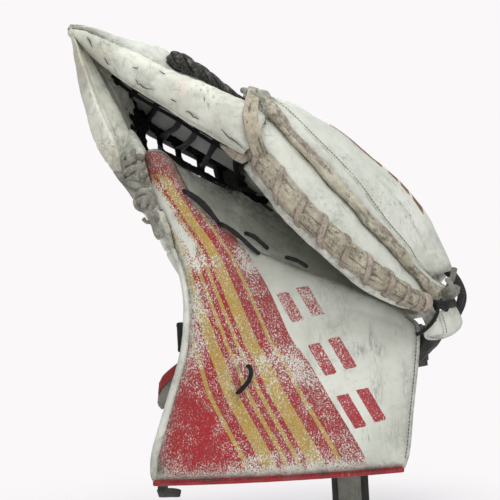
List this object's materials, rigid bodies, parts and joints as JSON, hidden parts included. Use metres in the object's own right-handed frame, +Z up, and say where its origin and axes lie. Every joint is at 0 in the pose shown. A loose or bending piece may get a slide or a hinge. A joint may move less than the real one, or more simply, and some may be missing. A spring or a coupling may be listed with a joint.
{
  "type": "goalie catch glove",
  "caption": "Ice hockey goalie catch glove: one-piece cuff and thumb board, laced pocket and padded finger half that fold about the palm break, with wrist and hand straps.",
  "frame": {"origin": "middle of the cuff's lower edge, on the front face of the cuff board", "axes": "+Z up along the forearm towards the pocket, -Y out of the cuff's printed face, +X towards the little-finger side"},
  "size_m": [0.3198, 0.172, 0.4111],
  "materials": {
    "white_leather": "smooth coated synthetic leather, scuffed",
    "board_face": "coated leather with printed red and gold stripes, heavily worn",
    "edge_binding": "red bound edge",
    "edge_leather": "tan rolled leather, dirty",
    "rawhide": "rawhide lace",
    "dark_lace": "worn dark lace",
    "net_lace": "black woven nylon lace",
    "lining": "dark grey nylon lining",
    "foam": "closed-cell foam",
    "strap_web": "black nylon webbing",
    "strap_leather": "red and white strap leather",
    "hook_tape": "hook-and-loop tape",
    "pin_metal": "plain steel bar",
    "anchor_plastic": "black moulded strap anchors",
    "palm_leather": "soft palm leather, scuffed"
  },
  "bodies": {
    "cuff": {"cuff_board": "board_face", "wrist_foam": "foam", "wrist_lining": "lining", "lower_binding": "edge_binding", "outer_piping": "white_leather", "thumb_tip_piping": "white_leather", "palm_thumb_side": "palm_leather", "palm_pad": "foam", "thumb_stall": "lining", "thumb_back_pad": "white_leather", "thumb_rim": "white_leather", "thumb_ties": "rawhide", "net_lower_binding": "net_lace", "net_lower": "net_lace", "heel_flap": "white_leather", "heel_tie_lace": "net_lace", "cuff_laces": "net_lace", "backhand_pad": "white_leather", "backhand_liner": "lining", "strap_anchor_pin": "pin_metal", "hand_anchor_pin": "pin_metal", "strap_anchor_tabs": "anchor_plastic", "hand_anchor_tabs": "anchor_plastic"},
    "web": {"web_spine": "net_lace", "palm_break_strip": "palm_leather", "web_tip_cap": "white_leather"},
    "fingers": {"finger_rim": "white_leather", "rim_wrap_strap": "edge_leather", "pocket_cover": "white_leather", "pocket_cover_lining": "lining", "cover_lacing": "dark_lace", "net_upper": "net_lace", "finger_edge_roll": "edge_leather", "finger_edge_lace": "rawhide", "palm_finger_side": "palm_leather", "finger_end_wall": "white_leather", "finger_shell": "white_leather", "shell_padding": "foam", "finger_stalls": "lining", "shell_welt": "edge_leather", "welt_lace": "rawhide", "heel_elastic": "strap_web"},
    "wrist_strap_body": {"wrist_strap": "strap_web", "strap_hook_patch": "hook_tape", "strap_pull_cover": "strap_leather", "strap_hinge_loop": "strap_web", "strap_tail": "strap_web", "strap_end": "strap_web"},
    "hand_strap_body": {"hand_strap": "strap_web", "hand_strap_tab": "hook_tape", "hand_strap_loop": "strap_web"}
  },
  "joints": [
    {"name": "web_fold", "type": "hinge", "parent": "cuff", "child": "web", "pos_m": [-0.0096, 0.105, 0.2348], "axis": [-0.7625, 0, 0.647], "range_deg": [0, 35]},
    {"name": "finger_fold", "type": "hinge", "parent": "web", "child": "fingers", "pos_m": [-0.0096, 0.105, 0.2348], "axis": [-0.7625, 0, 0.647], "range_deg": [0, 35]},
    {"name": "wrist_strap_hinge", "type": "hinge", "parent": "cuff", "child": "wrist_strap_body", "pos_m": [0.1045, 0.06, 0.062], "axis": [0, 0, -1], "range_deg": [0, 100]},
    {"name": "hand_strap_hinge", "type": "hinge", "parent": "cuff", "child": "hand_strap_body", "pos_m": [0.1242, 0.068, 0.094], "axis": [0, 0, -1], "range_deg": [0, 90]}
  ],
  "couplings": [
    {"joint": "finger_fold", "follows": "web_fold", "ratio": 1}
  ]
}
